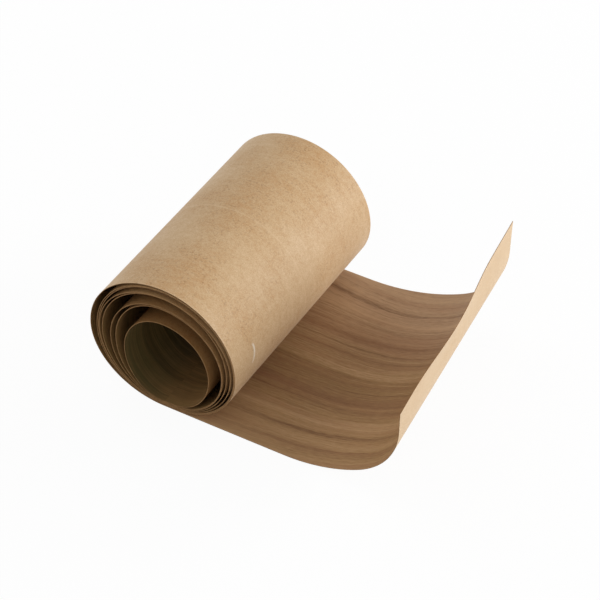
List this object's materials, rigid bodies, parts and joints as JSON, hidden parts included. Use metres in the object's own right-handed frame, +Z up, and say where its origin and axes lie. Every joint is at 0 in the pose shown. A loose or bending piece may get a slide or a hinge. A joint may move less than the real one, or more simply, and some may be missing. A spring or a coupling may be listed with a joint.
{
  "type": "wood veneer sheet",
  "caption": "Long strip of walnut veneer with a kraft paper backing, rolled loosely on its side, its free end lying flat on the floor and then curling up to a wavy cut edge.",
  "frame": {"origin": "middle of the floor under the whole piece", "axes": "+X from the roll towards the free end, +Y along the roll's axis away from the end that faces the viewer, +Z up"},
  "size_m": [0.232, 0.18, 0.1038],
  "materials": {
    "kraft": "matt brown paper with fine fibres",
    "walnut": "unfinished walnut, straight grain along the strip"
  },
  "bodies": {
    "root": {"kraft_backing": "kraft", "walnut_face": "walnut"}
  },
  "joints": []
}
